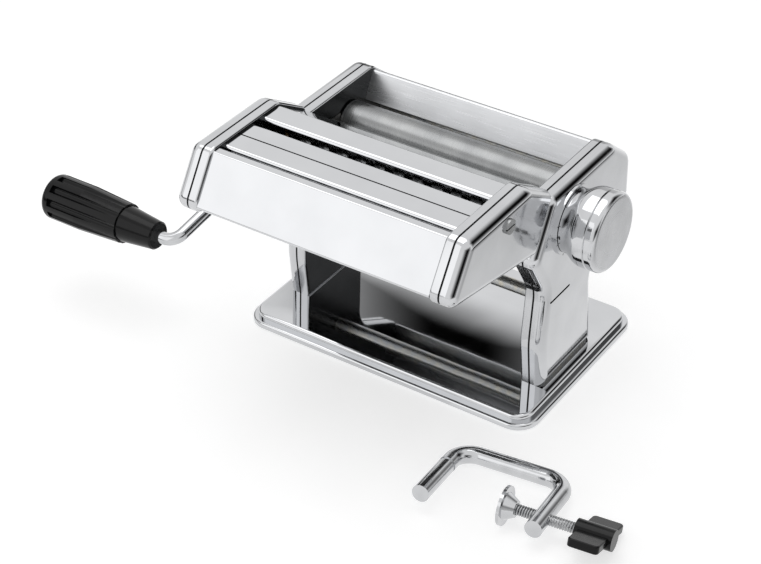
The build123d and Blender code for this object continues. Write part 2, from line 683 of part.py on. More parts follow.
# Knob: a flared plated cap on a moulded hub that slides on the shaft against a spring
knob_foot = hub_x - OUTER_X
wall_foot = KNOB_FOOT_RADIUS - KNOB_WALL
wall_inner = KNOB_RADIUS - KNOB_FLARE_WALL
band = KNOB_BAND_AT
profile = Curve() + [
    Line((knob_foot, wall_foot), (knob_foot, KNOB_FOOT_RADIUS)),
    Spline((knob_foot, KNOB_FOOT_RADIUS), (KNOB_FLARE_AT, KNOB_RADIUS), tangents=[(1, 0), (1, 0)]),
    Line((KNOB_FLARE_AT, KNOB_RADIUS), (band - KNOB_BAND_GROOVE, KNOB_RADIUS)),
    Line((band - KNOB_BAND_GROOVE, KNOB_RADIUS), (band, KNOB_RADIUS - KNOB_BAND_GROOVE)),
    Line((band, KNOB_RADIUS - KNOB_BAND_GROOVE), (band + KNOB_BAND_GROOVE, KNOB_RADIUS)),
    Line((band + KNOB_BAND_GROOVE, KNOB_RADIUS), (KNOB_LENGTH - KNOB_END_ROUND, KNOB_RADIUS)),
    RadiusArc((KNOB_LENGTH - KNOB_END_ROUND, KNOB_RADIUS), (KNOB_LENGTH, KNOB_RADIUS - KNOB_END_ROUND),
              KNOB_END_ROUND),
    Line((KNOB_LENGTH, KNOB_RADIUS - KNOB_END_ROUND), (KNOB_LENGTH, 0)),
    Line((KNOB_LENGTH, 0), (KNOB_LENGTH - KNOB_WALL, 0)),
    Line((KNOB_LENGTH - KNOB_WALL, 0), (KNOB_LENGTH - KNOB_WALL, wall_inner)),
    Line((KNOB_LENGTH - KNOB_WALL, wall_inner), (KNOB_FLARE_AT, wall_inner)),
    Line((KNOB_FLARE_AT, wall_inner), (knob_foot, wall_foot)),
]
knob = revolve(make_face(profile), axis=Axis.X)
save("thickness_knob", Pos(OUTER_X, *knob_axis) * knob)

hub_slope = (wall_inner - wall_foot) / (KNOB_FLARE_AT - knob_foot)
hub_far_radius = wall_foot + hub_slope * HUB_LENGTH
hub_place = Pos((hub_x + hub_end) / 2, *knob_axis) * Rot(0, 90, 0)
hub = hub_place * Cone(wall_foot - HUB_FIT, hub_far_radius - HUB_FIT, HUB_LENGTH)
hub -= round_bar(KNOB_SHAFT_RADIUS + RUNNING_FIT, hub_x - OVERCUT, hub_end + OVERCUT, knob_axis)
pin_place = detent_places[0]
hub += round_bar(HUB_PIN_RADIUS, ring_face + SLIDE_FIT, hub_x, pin_place)
save("knob_hub", hub)

washer_x = shaft_end - WASHER_THICKNESS
washer = round_bar(WASHER_RADIUS, washer_x, shaft_end, knob_axis)
washer -= round_bar(KNOB_SHAFT_RADIUS + RUNNING_FIT, washer_x - OVERCUT, shaft_end + OVERCUT, knob_axis)
save("shaft_washer", washer)
spring = round_bar(SPRING_OUTER, hub_end, washer_x, knob_axis)
spring -= round_bar(SPRING_OUTER - SPRING_WIRE, hub_end - OVERCUT, washer_x + OVERCUT, knob_axis)
save("knob_spring", spring)

# Cutter cheeks, built like the machine's
def cutter_point(back, down):
    """A point measured from the front top corner of the cutter's cheeks."""
    return CUTTER_FRONT_TOP_Y + back, CUTTER_TOP - down


cutter_points = [
    (CUTTER_FRONT_TOP_Y, CUTTER_TOP),
    (CUTTER_REAR_TOP_Y, CUTTER_TOP),
    neck_point(CUTTER_REAR_RISE, CUTTER_GAP),
    neck_point(-CUTTER_REAR_DROP, CUTTER_GAP),
    cutter_point(*CUTTER_NOSE),
]
cutter_cheek = side_outline(cutter_points, CUTTER_RADII)
cutter_frame = frame_pan(cutter_cheek, offset(cutter_cheek, -FRAME_SHEET))
cutter_cover = cover_pan(cutter_cheek)
cutter_seam = seam_ring(cutter_cheek)
save("cutter_seams", cutter_seam, other_side(cutter_seam))

row = math.radians(CUT_ROW_TILT)
pair_spacing = 2 * CUT_RADIUS - CUT_BITE
second_pair = pair_spacing + 2 * CUT_RADIUS + CUT_PAIR_GAP
cut_axes = []
for distance in (0, pair_spacing, second_pair, second_pair + pair_spacing):
    back = CUT_ROW_FRONT[0] + distance * math.cos(row)
    down = CUT_ROW_FRONT[1] + distance * math.sin(row)
    cut_axes.append(cutter_point(back, down))
driven = (1, 2)
cover_post = cutter_point(*COVER_POST_PLACE)

right_cut_frame = cutter_frame
left_cut_frame = cutter_frame
left_cut_cover = cutter_cover
cut_bushes = []
for index, axis in enumerate(cut_axes):
    left_radius = CUT_SOCKET_RADIUS if index in driven else CUT_JOURNAL_RADIUS
    right_cut_frame -= bush_hole(CUT_JOURNAL_RADIUS, axis)
    left_cut_frame -= bush_hole(left_radius, axis)
    cut_bushes.append(flanged_bush(CUT_JOURNAL_RADIUS, WEB_X, INNER_X, axis))
    cut_bushes.append(flanged_bush(left_radius, -WEB_X, -INNER_X, axis))
    if index in driven:
        left_cut_cover -= cover_hole(CUT_SOCKET_RADIUS + WINDOW_SPARE, axis)
cover_screw_hole = cover_hole(COVER_SCREW_RADIUS + RUNNING_FIT, cover_post)
save("cutter_right_frame", right_cut_frame)
save("cutter_left_frame", other_side(left_cut_frame))
save("cutter_right_cover", cutter_cover - cover_screw_hole)
save("cutter_left_cover", other_side(left_cut_cover - cover_screw_hole))
save("cutter_bushes", *cut_bushes)

post = round_bar(COVER_POST_RADIUS, WEB_X, COVER_WEB_X, cover_post)
screw_start = COVER_WEB_X - COVER_SCREW_LENGTH
post -= round_bar(COVER_SCREW_RADIUS + RUNNING_FIT, screw_start, COVER_WEB_X + OVERCUT, cover_post)
save("cutter_posts", post, other_side(post))
screw = round_bar(COVER_SCREW_RADIUS, screw_start, OUTER_X, cover_post)
screw_top = OUTER_X + COVER_SCREW_RISE
screw += round_bar(COVER_SCREW_HEAD, OUTER_X, screw_top, cover_post)
slot_half = SCREW_SLOT_WIDTH / 2
slot_reach = COVER_SCREW_HEAD + OVERCUT
screw -= block((screw_top - SCREW_SLOT_DEPTH, screw_top + OVERCUT),
               (cover_post[0] - slot_reach, cover_post[0] + slot_reach),
               (cover_post[1] - slot_half, cover_post[1] + slot_half))
save("cutter_cover_screws", screw, other_side(screw))


# Cutting rollers: rings of one roller run in the grooves of its mate
def cutting_roller(axis, pitch, shift, left_radius, left_end, right_end):
    core = round_bar(CUT_CORE_RADIUS, -roller_end, roller_end, axis)
    core += round_bar(left_radius, left_end, -roller_end, axis)
    core += round_bar(CUT_JOURNAL_RADIUS, roller_end, right_end, axis)
    count = int(roller_end // pitch)
    ring_half = pitch / 4 - CUT_SIDE_GAP
    rings = []
    for number in range(-count, count + 1):
        centre = number * pitch + shift
        if abs(centre) + ring_half < roller_end:
            rings.append(round_bar(CUT_RADIUS, centre - ring_half, centre + ring_half, axis))
    return core + rings


cut_rollers = (
    ("wide_follower", WIDE_PITCH, WIDE_PITCH / 4, WIDE_GEAR_PLANE),
    ("wide_driver", WIDE_PITCH, -WIDE_PITCH / 4, WIDE_GEAR_PLANE),
    ("narrow_driver", NARROW_PITCH, NARROW_PITCH / 4, NARROW_GEAR_PLANE),
    ("narrow_follower", NARROW_PITCH, -NARROW_PITCH / 4, NARROW_GEAR_PLANE),
)
for index, (name, pitch, shift, plane) in enumerate(cut_rollers):
    axis = cut_axes[index]
    has_socket = index in driven
    left_radius = CUT_SOCKET_RADIUS if has_socket else CUT_JOURNAL_RADIUS
    left_end = -OUTER_X if has_socket else -WEB_X - CUT_JOURNAL_REACH
    plane_x = WEB_X + plane
    roller = cutting_roller(axis, pitch, shift, left_radius, left_end, plane_x + CUT_GEAR_WIDTH)
    if has_socket:
        roller -= hex_bar(KEY_FLATS + 2 * KEY_FIT, -OUTER_X - OVERCUT, -OUTER_X + SOCKET_DEPTH, axis)
    save(f"{name}_roller", roller)
    faces_rear = index % 2 == 0
    facing = -CUT_ROW_TILT if faces_rear else 180 - CUT_ROW_TILT
    save(f"{name}_gear", toothed_wheel(pair_spacing, CUTTER_TEETH, plane_x, CUT_GEAR_WIDTH, axis,
                                       CUT_JOURNAL_RADIUS, facing, not faces_rear))

# Scraper bars under the four cutting rollers
bars = []
for y, z in cut_axes:
    bar_top = z - CUT_RADIUS - CUT_SCRAPER_GAP
    bars.append(block((-INNER_X, INNER_X), (y - CUT_SCRAPER[0] / 2, y + CUT_SCRAPER[0] / 2),
                      (bar_top - CUT_SCRAPER[1], bar_top)))
save("cutter_scrapers", *bars)

# Folded plates between the cutter's cheeks
plate_foot = cutter_point(*FRONT_PLATE_FOOT)
plate_ridge = cutter_point(*FRONT_PLATE_TOP)
lip_back = (plate_foot[0] + FRONT_PLATE_LIP[0], plate_foot[1] - FRONT_PLATE_LIP[1])
front_slot = [CUTTER_FRONT_TOP_Y + edge for edge in FRONT_SLOT]
mid_seam = [CUTTER_FRONT_TOP_Y + edge for edge in MID_SEAM]
rear_slot = [CUTTER_FRONT_TOP_Y + edge for edge in REAR_SLOT]
front_plate_path = [lip_back, plate_foot, plate_ridge, (front_slot[0], plate_ridge[1])]
save("cutter_front_plate",
     folded_sheet(front_plate_path, COVER_PLATE, FRONT_PLATE_BEND, -INNER_X, INNER_X))

chute_foot = PLATE_TOP - CHUTE_DEPTH
front_mid = [(mid_seam[0], PLATE_TOP), (front_slot[1], PLATE_TOP), (front_slot[1], chute_foot)]
rear_mid = [(rear_slot[0], chute_foot), (rear_slot[0], PLATE_TOP), (mid_seam[1], PLATE_TOP)]
save("cutter_mid_plates",
     folded_sheet(front_mid[::-1], COVER_PLATE, COVER_BEND, -INNER_X, INNER_X),
     folded_sheet(rear_mid[::-1], COVER_PLATE, COVER_BEND, -INNER_X, INNER_X))

rear_ahead = CUTTER_GAP + REAR_PLATE_INSET
rear_plate_path = [
    (rear_slot[1], chute_foot),
    (rear_slot[1], PLATE_TOP),
    (CUTTER_REAR_TOP_Y, PLATE_TOP),
    neck_point(CUTTER_REAR_RISE - REAR_PLATE_INSET, rear_ahead),
    neck_point(-RAIL_TOP + TONGUE_FIT, rear_ahead),
]
rear_plate = folded_sheet(rear_plate_path, COVER_PLATE, COVER_BEND, -INNER_X, INNER_X)
save("cutter_rear_plate", rear_plate)

# Crank: a bent rod keyed into the driven roller, with a free-turning grip
drop = math.radians(CRANK_DROP)
grip_place = (REAR_ROLLER_Y - CRANK_THROW * math.cos(drop), ROLLER_Z - CRANK_THROW * math.sin(drop))
stub_x = -OUTER_X - CRANK_STUB
arm_end_x = stub_x - CRANK_ARM_SPREAD
grip_x = arm_end_x - GRIP_GAP
grip_end_x = grip_x - GRIP_LENGTH
rod_end_x = grip_end_x + GRIP_CAP_DEPTH
crank_path = FilletPolyline(
    (-OUTER_X, *rear_axis),
    (stub_x, *rear_axis),
    (arm_end_x, *grip_place),
    (rod_end_x, *grip_place),
    radius=CRANK_BEND,
)
crank_rod = sweep(Pos(-OUTER_X, *rear_axis) * (Plane.YZ * Circle(CRANK_RADIUS)), path=crank_path)
crank_rod += hex_bar(KEY_FLATS, -OUTER_X, -OUTER_X + KEY_LENGTH, rear_axis)
save("crank_rod", crank_rod)

bore_radius = CRANK_RADIUS + GRIP_FIT
sleeve_end = GRIP_LENGTH - GRIP_END_ROUND
grip_outline = Curve() + [
    Line((0, bore_radius), (0, GRIP_TIP_RADIUS - GRIP_TIP_ROUND)),
    Line((0, GRIP_TIP_RADIUS - GRIP_TIP_ROUND), (GRIP_TIP_ROUND, GRIP_TIP_RADIUS)),
    Line((GRIP_TIP_ROUND, GRIP_TIP_RADIUS), (GRIP_NOSE_LENGTH, GRIP_NOSE_RADIUS)),
    Line((GRIP_NOSE_LENGTH, GRIP_NOSE_RADIUS), (GRIP_NOSE_LENGTH, GRIP_SLEEVE_RADIUS)),
    Line((GRIP_NOSE_LENGTH, GRIP_SLEEVE_RADIUS), (GRIP_SWELL_AT, GRIP_RADIUS)),
    Line((GRIP_SWELL_AT, GRIP_RADIUS), (sleeve_end, GRIP_RADIUS)),
    RadiusArc((sleeve_end, GRIP_RADIUS), (GRIP_LENGTH, GRIP_RADIUS - GRIP_END_ROUND), GRIP_END_ROUND),
    Line((GRIP_LENGTH, GRIP_RADIUS - GRIP_END_ROUND), (GRIP_LENGTH, bore_radius)),
    Line((GRIP_LENGTH, bore_radius), (0, bore_radius)),
]
grip = revolve(make_face(grip_outline), axis=Axis.X)
grip -= round_bar(GRIP_CAP_RADIUS, GRIP_LENGTH - GRIP_CAP_DEPTH, GRIP_LENGTH + OVERCUT, (0, 0))
for number in range(GRIP_FLUTES):
    turn = 360 * number / GRIP_FLUTES
    flute = round_bar(GRIP_FLUTE_RADIUS, GRIP_FLUTE_START, GRIP_FLUTE_END, (0, GRIP_FLUTE_AXIS))
    grip -= Rot(turn, 0, 0) * flute
turn_to_left = Pos(grip_x, *grip_place) * Rot(0, 0, 180)
save("crank_grip", turn_to_left * grip)
save("grip_cap", round_bar(GRIP_CAP_RADIUS - RUNNING_FIT, grip_end_x, rod_end_x - SLIDE_FIT, grip_place))

# Clamp: drawn in its own plane with the back bar along X, then tilted until its pad touches the table
clamp_tilt = math.asin((PAD_RADIUS - CLAMP_ROD_RADIUS) / CLAMP_SCREW_ARM)
clamp_spot = Pos(*CLAMP_PLACE, CLAMP_ROD_RADIUS) * Rot(0, 0, CLAMP_TURN)
clamp_spot *= Rot(-math.degrees(clamp_tilt), 0, 0)
half_span = CLAMP_SPAN / 2
clamp_path = FilletPolyline(
    (-half_span, -CLAMP_LONG_ARM, 0),
    (-half_span, 0, 0),
    (half_span, 0, 0),
    (half_span, -CLAMP_SCREW_ARM - CLAMP_SCREW_TO_END, 0),
    radius=CLAMP_BEND,
)
clamp_start = Pos(-half_span, -CLAMP_LONG_ARM, 0) * (Plane.XZ * Circle(CLAMP_ROD_RADIUS))
clamp_frame = sweep(clamp_start, path=clamp_path)
neck_y = CLAMP_NECK_FROM_END - CLAMP_LONG_ARM
neck_ring = Cylinder(CLAMP_ROD_RADIUS + OVERCUT, CLAMP_NECK_WIDTH)
neck_ring -= Cylinder(CLAMP_ROD_RADIUS - CLAMP_NECK_DEPTH, CLAMP_NECK_WIDTH)
clamp_frame -= Pos(-half_span, neck_y, 0) * Rot(90, 0, 0) * neck_ring
screw_line = (-CLAMP_SCREW_ARM, 0)
drill_reach = CLAMP_ROD_RADIUS + OVERCUT
clamp_frame -= round_bar(CLAMP_SCREW_RADIUS + RUNNING_FIT, half_span - drill_reach, half_span + drill_reach,
                         screw_line)
save("clamp_frame", clamp_spot * clamp_frame)

pad_back = PAD_FACE + PAD_THICKNESS
cup_end = pad_back + PAD_CUP_DEPTH
pad = round_bar(PAD_RADIUS, PAD_FACE, pad_back, screw_line)
cup_place = Pos((pad_back + cup_end) / 2, *screw_line) * Rot(0, 90, 0)
pad += cup_place * Cone(PAD_NECK_RADIUS, PAD_CUP_RADIUS, PAD_CUP_DEPTH)
pad -= round_bar(CLAMP_SCREW_RADIUS + PAD_FIT, pad_back, cup_end + OVERCUT, screw_line)
save("clamp_pad", clamp_spot * pad)

screw_end = WING_START + SCREW_IN_WING
save("clamp_screw", clamp_spot * round_bar(CLAMP_SCREW_RADIUS, pad_back + PAD_FIT, screw_end, screw_line))

wing_middle = WING_START + WING_HUB_LENGTH / 2
wing_face = RectangleRounded(WING_LENGTH, WING_SPAN, WING_CORNER)
plate = extrude(Pos(0, 0, -WING_THICKNESS / 2) * wing_face, amount=WING_THICKNESS)
plate_faces = plate.faces().sort_by(Axis.Z)
plate = fillet(plate_faces[0].edges() + plate_faces[-1].edges(), WING_ROUND)
wing = Pos(wing_middle, *screw_line) * Rot(WING_TURN, 0, 0) * plate
wing += round_bar(WING_HUB_RADIUS, WING_START, WING_START + WING_HUB_LENGTH, screw_line)
wing -= round_bar(CLAMP_SCREW_RADIUS + RUNNING_FIT, WING_START - OVERCUT, screw_end, screw_line)
save("wing_knob", clamp_spot * wing)
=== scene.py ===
import math

import bpy
from mathutils import Matrix, Vector


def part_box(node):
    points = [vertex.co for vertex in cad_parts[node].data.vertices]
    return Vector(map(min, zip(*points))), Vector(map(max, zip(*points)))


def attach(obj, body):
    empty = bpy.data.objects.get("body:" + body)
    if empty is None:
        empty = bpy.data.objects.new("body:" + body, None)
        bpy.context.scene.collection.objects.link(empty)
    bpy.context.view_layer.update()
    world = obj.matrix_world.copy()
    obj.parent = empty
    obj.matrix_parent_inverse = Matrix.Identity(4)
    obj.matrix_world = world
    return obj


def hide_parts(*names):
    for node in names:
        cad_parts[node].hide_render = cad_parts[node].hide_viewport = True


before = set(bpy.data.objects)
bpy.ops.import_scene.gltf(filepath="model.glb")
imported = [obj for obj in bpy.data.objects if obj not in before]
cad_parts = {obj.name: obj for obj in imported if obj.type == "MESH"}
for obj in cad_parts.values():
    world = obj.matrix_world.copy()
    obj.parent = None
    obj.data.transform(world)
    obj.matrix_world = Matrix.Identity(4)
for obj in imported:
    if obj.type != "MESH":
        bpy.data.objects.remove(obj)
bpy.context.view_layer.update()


# Base plate: a shallow pan pressed from sheet steel, with a stepped rim all round, polished and plated.
# It stands on four moulded feet and carries the legs, which are screwed down from below.
def linear(hex_text):
    """An sRGB hex colour as linear red, green, blue and alpha."""
    values = [int(hex_text[i:i + 2], 16) / 255 for i in (1, 3, 5)]
    return [v / 12.92 if v <= 0.04045 else ((v + 0.055) / 1.055) ** 2.4 for v in values] + [1.0]


def add(tree, kind, inputs=None, **settings):
    """Add a node with its settings; an input is a value or the socket that feeds it."""
    node = tree.nodes.new(kind)
    for key, value in settings.items():
        setattr(node, key, value)
    for key, value in (inputs or {}).items():
        if isinstance(value, bpy.types.NodeSocket):
            tree.links.new(value, node.inputs[key])
        else:
            node.inputs[key].default_value = value
    return node


def surface(name, **sockets):
    """A new material with its shader's constant sockets set."""
    material = bpy.data.materials.new(name)
    material.use_nodes = True
    tree = material.node_tree
    shader = tree.nodes["Principled BSDF"]
    for key, value in sockets.items():
        shader.inputs[key.replace("_", " ")].default_value = value
    place = add(tree, "ShaderNodeTexCoord").outputs["Object"]
    return material, tree, shader, place


def noise(tree, place, size, detail=3.0):
    """A noise whose patches are about the given size in metres."""
    settings = {"Vector": place, "Scale": 1 / size, "Detail": detail}
    return add(tree, "ShaderNodeTexNoise", settings).outputs["Fac"]


NOISE_MIDDLE = (0.3, 0.7)


def between(tree, value, low, high, dark=None, light=None):
    """Spread the middle of a noise over a range of numbers, or over two colours."""
    settings = {"Value": value, "From Min": NOISE_MIDDLE[0], "From Max": NOISE_MIDDLE[1],
                "To Min": low, "To Max": high}
    spread = add(tree, "ShaderNodeMapRange", settings).outputs["Result"]
    if dark is None:
        return spread
    mix = add(tree, "ShaderNodeMix", {"Factor": spread}, data_type="RGBA")
    mix.inputs["A"].default_value = linear(dark)
    mix.inputs["B"].default_value = linear(light)
    return mix.outputs["Result"]


def relief(tree, height, depth, strength=1.0):
    """A bump from a height pattern, its depth in metres."""
    settings = {"Height": height, "Distance": depth, "Strength": strength}
    return add(tree, "ShaderNodeBump", settings).outputs["Normal"]


def finish_with(tree, shader, **sockets):
    """Feed the shader's sockets."""
    for key, socket in sockets.items():
        tree.links.new(socket, shader.inputs[key.replace("_", " ")])


def dress(material, *names):
    """Give CAD nodes a material."""
    for name in names:
        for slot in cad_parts[name].material_slots:
            slot.material = material


# Bright chrome over pressed sheet: a clear cool mirror, a little wavy from the press.
chrome_sheet, tree, shader, place = surface("chrome_plated_pressed_sheet", Metallic=1.0)
finish_with(tree, shader,
            Base_Color=between(tree, noise(tree, place, 0.030), 0.0, 1.0, "#CACBCD", "#D0D1D3"),
            Roughness=between(tree, noise(tree, place, 0.012, 5.0), 0.020, 0.050),
            Normal=relief(tree, noise(tree, place, 0.040, 1.0), 0.0004, 0.35))
dress(chrome_sheet, "base_plate")

# Moulded rubber: dull black with a fine pebble that greys it at a glance.
foot_rubber, tree, shader, place = surface("moulded_foot_rubber", Specular_IOR_Level=0.3)
pebble = noise(tree, place, 0.0008, 2.0)
finish_with(tree, shader,
            Base_Color=between(tree, noise(tree, place, 0.006), 0.0, 1.0, "#1C1C1D", "#2A2A2B"),
            Roughness=between(tree, pebble, 0.62, 0.80),
            Normal=relief(tree, pebble, 0.0001))
dress(foot_rubber, "rubber_feet")

# Zinc plate on turned and pressed fasteners: a soft grey metal with a faint straw tint in patches.
zinc, tree, shader, place = surface("zinc_plated_fastener_steel", Metallic=1.0)
finish_with(tree, shader,
            Base_Color=between(tree, noise(tree, place, 0.004), 0.0, 1.0, "#A9ADB2", "#BDB9AE"),
            Roughness=between(tree, noise(tree, place, 0.0012, 4.0), 0.26, 0.42),
            Normal=relief(tree, noise(tree, place, 0.0006), 0.00004))
dress(zinc, "base_screws", "leg_blocks")


# Side cheeks: each is a pressed frame and a deep-drawn cover back to back, both plated, gears between them.
# A black strip of painted shade sits in the groove where the two shells meet and shows as a thin line all
# round. Only their outsides are polished.
INNER_FACE_X = 0.0776
PROUD_EDGE_Y = -0.1105

# Chrome on the drawn cheeks: a clear mirror outside; the face towards the rollers is painted near black as
# shade, with a satin roughness.
chrome_cheek, tree, shader, place = surface("chrome_plated_drawn_cheek", Metallic=1.0)
parts = add(tree, "ShaderNodeSeparateXYZ", {"Vector": place}).outputs
across = add(tree, "ShaderNodeMath", {0: parts["X"]}, operation="ABSOLUTE").outputs[0]
inner = add(tree, "ShaderNodeMath", {0: across, 1: INNER_FACE_X}, operation="LESS_THAN").outputs[0]
covered = add(tree, "ShaderNodeMath", {0: parts["Y"], 1: PROUD_EDGE_Y}, operation="GREATER_THAN").outputs[0]
inside = add(tree, "ShaderNodeMath", {0: inner, 1: covered}, operation="MULTIPLY").outputs[0]
bright = between(tree, noise(tree, place, 0.030), 0.0, 1.0, "#C3C4C6", "#CFD0D2")
# Painted shade: near-black colour on the inner faces between the cheeks, where shade falls.
inner_shade_tone = between(tree, noise(tree, place, 0.020), 0.0, 1.0, "#343536", "#3D3E3F")
tone = add(tree, "ShaderNodeMix", {"Factor": inside}, data_type="RGBA")
tree.links.new(bright, tone.inputs["A"])
tree.links.new(inner_shade_tone, tone.inputs["B"])
clear = between(tree, noise(tree, place, 0.012, 5.0), 0.07, 0.11)
dull = between(tree, noise(tree, place, 0.006, 3.0), 0.20, 0.25)
rough = add(tree, "ShaderNodeMix", {"Factor": inside, "A": clear, "B": dull}, data_type="FLOAT")
finish_with(tree, shader,
            Base_Color=tone.outputs["Result"],
            Roughness=rough.outputs["Result"],
            Normal=relief(tree, noise(tree, place, 0.035, 1.0), 0.0004, 0.35))
dress(chrome_cheek, "right_side_frame", "left_side_frame", "right_side_cover", "left_side_cover",
      "cutter_right_frame", "cutter_left_frame", "cutter_right_cover", "cutter_left_cover")

# Painted shade: a flat black strip set in the groove where the shells meet, in place of the shade there, so
# that each joint reads as a drawn line. It also fills the index marks.
seam_shade_and_mark_black, tree, shader, place = surface("moulded_black_seal", Specular_IOR_Level=0.35)
finish_with(tree, shader,
            Base_Color=between(tree, noise(tree, place, 0.003), 0.0, 1.0, "#0C0C0D", "#171718"),
            Roughness=between(tree, noise(tree, place, 0.001), 0.45, 0.60))
dress(seam_shade_and_mark_black, "side_seams", "cutter_seams")


# Hopper and frame between the cheeks: a folded plate behind the rollers, a small guard in front of them
# and the rails that the cutter hangs on, held by tie rods with nuts. A sleeve in the left leg takes the
# clamp's rod.
dress(chrome_sheet, "front_guard")
dress(zinc, "guide_rails", "tie_rods", "tie_rod_nuts", "clamp_guide")

# Satin chrome on the hopper plate: an even pale grey, with fine lines along it from the rolling mill.
GRAIN_STRETCH = (0.02, 1, 1)
chrome_satin, tree, shader, place = surface("satin_chrome_rolled_sheet", Metallic=1.0)
stretched = add(tree, "ShaderNodeVectorMath", {0: place, 1: GRAIN_STRETCH}, operation="MULTIPLY").outputs[0]
grain = noise(tree, stretched, 0.0006, 3.0)
finish_with(tree, shader,
            Base_Color=between(tree, noise(tree, place, 0.030), 0.0, 1.0, "#C0C1C3", "#C8C9CB"),
            Roughness=between(tree, grain, 0.26, 0.34),
            Normal=relief(tree, grain, 0.00001, 0.5))
dress(chrome_satin, "rear_cover")


# Rollers: two ground steel cylinders, geared together inside the left cheek. The rear one turns in bushes
# and the front one in sliding blocks; a strip under each scrapes it clean.
def turned_lines(tree, place, pitch, centre=None):
    """Fine rings left by a lathe: along X, or round an X axis through centre on end faces as well."""
    parts = add(tree, "ShaderNodeSeparateXYZ", {"Vector": place})
    run = parts.outputs["X"]
    if centre:
        from_axis = add(tree, "ShaderNodeVectorMath", {0: place, 1: (0, *centre)}, operation="SUBTRACT")
        flat = add(tree, "ShaderNodeVectorMath", {0: from_axis.outputs[0], 1: (0, 1, 1)},
                   operation="MULTIPLY")
        radius = add(tree, "ShaderNodeVectorMath", {0: flat.outputs[0]}, operation="LENGTH")
        run = add(tree, "ShaderNodeMath", {0: run, 1: radius.outputs["Value"]}, operation="ADD").outputs[0]
    line = add(tree, "ShaderNodeCombineXYZ", {"X": run}).outputs[0]
    return noise(tree, line, pitch, 2.0)


# Ground roller steel: satin, with fine rings round it that stretch each highlight along its length.
roller_steel, tree, shader, place = surface("ground_roller_steel", Metallic=1.0)
rings = turned_lines(tree, place, 0.0008)
finish_with(tree, shader,
            Base_Color=between(tree, noise(tree, place, 0.020), 0.0, 1.0, "#868788", "#989999"),
            Roughness=between(tree, rings, 0.24, 0.34),
            Normal=relief(tree, rings, 0.00002, 0.6))
dress(roller_steel, "drive_roller", "front_roller")

# Machined steel: darker and oily, for the gears and blocks inside.
gear_steel, tree, shader, place = surface("machined_oiled_steel", Metallic=1.0)
finish_with(tree, shader,
            Base_Color=between(tree, noise(tree, place, 0.005), 0.0, 1.0, "#6C6B69", "#8B8986"),
            Roughness=between(tree, noise(tree, place, 0.0015, 4.0), 0.24, 0.44),
            Normal=relief(tree, noise(tree, place, 0.0005), 0.00003))
dress(gear_steel, "drive_gear", "front_gear", "wide_follower_gear", "wide_driver_gear",
      "narrow_driver_gear", "narrow_follower_gear", "left_bearing_block", "right_bearing_block", "cam_shaft")

# Sintered bronze: warm and porous, a dull ring of colour round each journal.
bronze, tree, shader, place = surface("sintered_bearing_bronze", Metallic=1.0)
pores = noise(tree, place, 0.0007, 2.0)
finish_with(tree, shader,
            Base_Color=between(tree, pores, 0.0, 1.0, "#8C6A3A", "#C29A5C"),
            Roughness=between(tree, pores, 0.32, 0.50),
            Normal=relief(tree, pores, 0.00004))
dress(bronze, "drive_roller_bushes", "cam_bush", "cutter_bushes")

# Moulded scraper nylon: dark grey and waxy. Its near-black colour is also painted shade, so that the slots
# beside the rollers stay deep.
scraper, tree, shader, place = surface("moulded_dark_nylon", Specular_IOR_Level=0.4)
finish_with(tree, shader,
            Base_Color=between(tree, noise(tree, place, 0.008), 0.0, 1.0, "#161617", "#232324"),
            Roughness=between(tree, noise(tree, place, 0.002), 0.38, 0.52))
dress(scraper, "rear_scraper", "front_scraper", "cutter_scrapers")


# Thickness knob: a spun steel cup with a flared foot, on a hub that a spring holds against an index ring.
# It is pulled out, turned to one of nine marks on the ring and let go.
KNOB_AXIS = (-0.0034, 0.114)
END_SKIN = 0.0004

# Chrome over spun steel: a mirror with faint rings, satin where the flat end was left as spun.
chrome_knob, tree, shader, place = surface("chrome_plated_spun_cup", Metallic=1.0)
rings = turned_lines(tree, place, 0.0010, KNOB_AXIS)
end_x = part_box("thickness_knob")[1][0] - END_SKIN
along = add(tree, "ShaderNodeSeparateXYZ", {"Vector": place}).outputs["X"]
end = add(tree, "ShaderNodeMath", {0: along, 1: end_x}, operation="GREATER_THAN").outputs[0]
clear = between(tree, rings, 0.05, 0.09)
dull = between(tree, rings, 0.20, 0.30)
rough = add(tree, "ShaderNodeMix", {"Factor": end, "A": clear, "B": dull}, data_type="FLOAT")
finish_with(tree, shader,
            Base_Color=between(tree, noise(tree, place, 0.015), 0.0, 1.0, "#C4C5C7", "#D0D1D3"),
            Roughness=rough.outputs["Result"],
            Normal=relief(tree, rings, 0.00003, 0.5))
dress(chrome_knob, "thickness_knob", "index_ring")
dress(zinc, "shaft_washer", "knob_spring")

# Moulded hub plastic: matt black with a trace of gloss on its edges.
hub_plastic, tree, shader, place = surface("moulded_hub_plastic", Specular_IOR_Level=0.4)
finish_with(tree, shader,
            Base_Color=between(tree, noise(tree, place, 0.004), 0.0, 1.0, "#18181A", "#232326"),
            Roughness=between(tree, noise(tree, place, 0.001), 0.40, 0.55))
dress(hub_plastic, "knob_hub")

# Index marks: nine short lines stamped on the ring just outside the knob's foot and filled with black.
MARKS = 9
MARK_STEP = math.radians(36)
MARK_RADIUS = 0.02055
MARK_SIZE = (0.00006, 0.0005, 0.0012)


def new_tree(name, **inputs):
    """A Geometry Nodes tree with named inputs; returns it with its input and output nodes."""
    tree = bpy.data.node_groups.new(name, "GeometryNodeTree")
    for key, kind in inputs.items():
        tree.interface.new_socket(key.replace("_", " "), in_out="INPUT", socket_type="NodeSocket" + kind)
    tree.interface.new_socket("Geometry", in_out="OUTPUT", socket_type="NodeSocketGeometry")
    return tree, add(tree, "NodeGroupInput").outputs, add(tree, "NodeGroupOutput")


